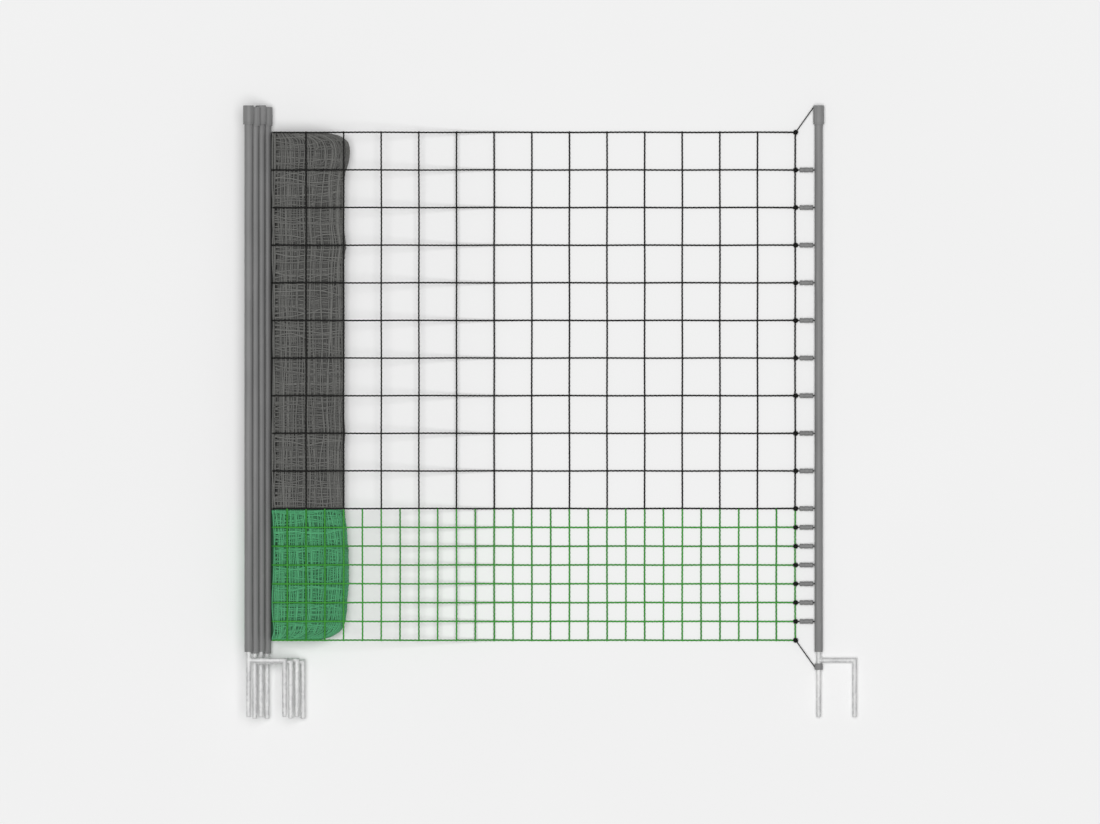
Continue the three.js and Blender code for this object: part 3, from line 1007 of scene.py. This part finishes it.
def seamRings(ring, axis, size, sides=6):
    # A small raised weld that follows a ring in the plane across axis
    centreOf = np.mean(ring, axis=0)
    rings = []
    for point in ring:
        outwards = (point - centreOf) / np.linalg.norm(point - centreOf)
        girth = size * chance.uniform(0.8, 1.15)
        turns = [2 * math.pi * k / sides for k in range(sides)]
        rings.append([point + girth * (math.cos(t) * outwards + math.sin(t) * axis) for t in turns])
    return rings


def joined(name, meshes):
    shape = bmesh.new()
    for mesh in meshes:
        shape.from_mesh(mesh)
    bmesh.ops.recalc_face_normals(shape, faces=shape.faces)
    whole = meshes[0].copy()
    shape.to_mesh(whole)
    shape.free()
    whole.name = name
    return whole


def makeSpike(label, x, foot, z):
    r = spike["radius"]
    chamfer = spike["tipChamfer"]
    barY = foot - spike["barDrop"]
    tip = barY - spike["reach"]
    farX = x + spike["spacing"]
    sides = spike["sides"]
    main = [(x, foot + spike["tang"], z), (x, foot, z), (x, tip + chamfer, z), (x, tip, z)]
    outer = [(x, barY, z), (x + spike["spacing"] / 2, barY, z), (farX, barY, z)]
    outer += [(farX, tip + chamfer, z), (farX, tip, z)]
    outerRings = rodRings(outer, [r, r, r, r, r - chamfer], sides)
    mitreRing = outerRings[3]
    mitreAxis = np.array((1.0, -1.0, 0.0)) / math.sqrt(2)
    weldPath = [(x + along, barY, z) for along, _ in barWeld]
    weldRings = rodRings(weldPath, [girth for _, girth in barWeld], sides)
    mesh = joined("doubleSpike" + label, [
        ringMesh("mainSpike", rodRings(main, [r, r, r, r - chamfer], sides), "zinc"),
        ringMesh("outerSpike", outerRings, "zinc"),
        ringMesh("cornerWeld", seamRings(mitreRing, mitreAxis, spike["bead"]), "zinc", loop=True),
        ringMesh("barWeld", weldRings, "zinc"),
    ])
    addPiece("doubleSpike" + label, mesh, ["double_spike_" + label])


def makePost(label):
    low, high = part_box("post_tube_" + label)
    x, _, z = centre("post_tube_" + label)
    tube = turned("postTube" + label, tubeProfile(high[1] - low[1]), (x, low[1], z), "post")
    addPiece("postTube" + label, tube, ["post_tube_" + label])
    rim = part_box("post_cap_" + label)[0][1]
    cap = turned("postCap" + label, capProfile(), (x, rim, z), "cap")
    addPiece("postCap" + label, cap, ["post_cap_" + label])
    makeSpike(label, x, low[1], z)


for label in ("1", "2", "3", "4", "end"):
    makePost(label)
print("posts made")

# Ties, ferrules and the collar at the end post
tie = {
    "cord": 0.0013,
    "lobe": 0.16,
    "lay": 0.012,
    "knot": 0.006,
    "knotOffset": 0.0011,
    "winds": 4.5,
    "windPoints": 64,
    "phase": 6.28,
    "pitch": 0.003,
    "hold": 0.004,
    "capHold": 0.002,
    "belowCapEnd": 0.005,
    "collarHold": 0.003,
}
ferrule = {
    "radius": 0.0050,
    "bore": 0.0017,
    "length": 0.0288,
    "start": 0.0098,
    "crimp": 0.0005,
    "crimpAt": (0.28, 0.72),
    "sides": 28,
}
collar = {"radius": 0.0087, "bore": 0.0055, "height": 0.0132, "edge": 0.0007, "sides": 40}


def tieRoute(level, entry, hold):
    # Where a tie starts in its knot, its direction, and where it ends inside what it enters
    start = np.array((endX + tie["knotOffset"], level, tie["knot"]))
    entry = np.array(entry)
    direction = (entry - start) / np.linalg.norm(entry - start)
    return start, direction, entry + direction * hold


def tieRoutes(levels):
    # The lowest goes to the collar, the highest to the cap, the others straight to the tube
    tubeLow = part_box("post_tube_end")[0]
    postZ = centre("post_tube_end")[2]
    capLow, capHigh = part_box("post_cap_end")
    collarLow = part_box("spike_collar")[0]
    collarY = centre("spike_collar")[1]
    capY = capHigh[1] - tie["belowCapEnd"]
    routes = [tieRoute(level, (tubeLow[0], level, postZ), tie["hold"]) for level in levels]
    routes[0] = tieRoute(levels[0], (collarLow[0], collarY, postZ), tie["collarHold"])
    routes[-1] = tieRoute(levels[-1], (capLow[0], capY, postZ), tie["capHold"])
    return routes


def addTie(cords, start, direction, stop):
    # A cord wound into a ball on the end vertical, then straight on to the post
    side = np.cross((0, 0, 1), direction)
    side = side / np.linalg.norm(side)
    over = np.cross(direction, side)
    shell = tie["knot"] - tie["cord"]
    points = []
    phase = chance.rand() * tie["phase"]
    for share in np.linspace(0, 1, tie["windPoints"]):
        turn = phase + share * tie["winds"] * 2 * math.pi
        rise = math.radians(-78 + 160 * share)
        points.append(start + shell * (
            math.sin(rise) * direction + math.cos(rise) * (math.cos(turn) * side + math.sin(turn) * over)
        ))
    length = np.linalg.norm(stop - start)
    for along in np.arange(shell + tie["pitch"] / 2, length, tie["pitch"]):
        points.append(start + direction * along)
    points.append(stop)
    cords.add(points, tie["cord"], 0.5)
    # A solid ball inside the winds, at a darker tone than the cord: painted shade between the winds
    inner = shell - 0.0002
    reach = np.linspace(-0.97, 0.97, 9)
    girths = [float(inner * math.sqrt(1 - s * s)) for s in reach]
    cords.add([start + direction * inner * s for s in reach], girths, 0.3)


def makeTies(routes):
    cords = Paths()
    for route in routes:
        addTie(cords, *route)
    mesh = sweep("endTies", cords, "blackTwine", 6, tie["lobe"], tie["lay"])
    addPiece("endTies", mesh, ["end_tie_%02d" % (i + 1) for i in range(len(routes))])


def ferruleProfile():
    r = ferrule["radius"]
    length = ferrule["length"]
    waist = r - ferrule["crimp"]
    profile = [(ferrule["bore"], 0.0004), (r - 0.0012, 0), (r - 0.0003, 0.0003), (r, 0.0012)]
    for share in ferrule["crimpAt"]:
        at = length * share
        profile += [(r, at - 0.0022), (waist, at - 0.0012), (waist, at + 0.0012), (r, at + 0.0022)]
    profile += [(r, length - 0.0012), (r - 0.0003, length - 0.0003), (r - 0.0012, length)]
    profile.append((ferrule["bore"], length - 0.0004))
    return profile


def makeFerrules(routes):
    # One crimped sleeve, copied onto every straight tie
    sleeve = turned("ferruleShape", ferruleProfile(), (0, 0, 0), "ferrule", ferrule["sides"], loop=True)
    holder = bpy.data.objects.new("ferruleShape", sleeve)
    scene.collection.objects.link(holder)
    spots = []
    turns = []
    for start, direction, _ in routes:
        spots.append(tuple(start + direction * (ferrule["start"] - tie["knotOffset"])))
        turns.extend((math.atan2(direction[2], direction[0]), 0.0, -math.pi / 2))
    points = bpy.data.meshes.new("ferrulePoints")
    points.from_pydata(spots, [], [])
    layer = points.attributes.new("turn", "FLOAT_VECTOR", "POINT")
    layer.data.foreach_set("vector", turns)
    mesh = evaluate("ferrules", points, repeatTree, {
        repeatInputs["Shape"]: holder,
        repeatInputs["Material"]: finishes["ferrule"],
    })
    bpy.data.objects.remove(holder)
    nodes = ["ferrule_%02d" % (i + 1) for i in range(len(routes))]
    addPiece("ferrules", mesh, nodes)


def makeCollar():
    r = collar["radius"]
    edge = collar["edge"]
    height = collar["height"]
    profile = [
        (collar["bore"], 0.0003), (r - edge, 0), (r - edge * 0.3, edge * 0.3), (r, edge), (r, height - edge),
        (r - edge * 0.3, height - edge * 0.3), (r - edge, height), (collar["bore"], height - 0.0003),
    ]
    x, _, z = centre("spike_collar")
    place = (x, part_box("spike_collar")[0][1], z)
    mesh = turned("spikeCollar", profile, place, "ferrule", collar["sides"], loop=True)
    addPiece("spikeCollar", mesh, ["spike_collar"])


routes = tieRoutes(lowerLevels + upperLevels)
makeTies(routes)
makeFerrules(routes[1:-1])
makeCollar()
print("ties, ferrules and collar made")

# Floor, light and camera
studio = {
    "floorSize": 9.0,
    "sky": 0.25,
    "sun": 2.36,
    "sunAngle": 40.0,
    "sunTilt": (0.0, -2.0),
    "frameWidth": 1100 * 0.0021265,
    "cameraHeight": 4.0,
}
half = studio["floorSize"] / 2
floorCorners = [(-half, -half, 0), (half, -half, 0), (half, half, 0), (-half, half, 0)]
floorMesh = bpy.data.meshes.new("floor")
floorMesh.from_pydata(floorCorners, [], [(0, 1, 2, 3)])
floorMesh.materials.append(finishes["floor"])
floor = bpy.data.objects.new("floor", floorMesh)
scene.collection.objects.link(floor)

world = bpy.data.worlds.new("sky")
world.use_nodes = True
world.node_tree.nodes["Background"].inputs["Color"].default_value = (1, 1, 1, 1)
world.node_tree.nodes["Background"].inputs["Strength"].default_value = studio["sky"]
scene.world = world

sunLight = bpy.data.lights.new("sun", "SUN")
sunLight.energy = studio["sun"]
sunLight.angle = math.radians(studio["sunAngle"])
sun = bpy.data.objects.new("sun", sunLight)
sun.rotation_euler = tuple(math.radians(a) for a in (*studio["sunTilt"], 0.0))
scene.collection.objects.link(sun)

lens = bpy.data.cameras.new("camera")
lens.type = "ORTHO"
lens.ortho_scale = studio["frameWidth"]
lens.clip_end = 20
camera = bpy.data.objects.new("camera", lens)
camera.location = (0, 0, studio["cameraHeight"])
scene.collection.objects.link(camera)
scene.camera = camera
scene.view_settings.view_transform = "Standard"
print("studio made")
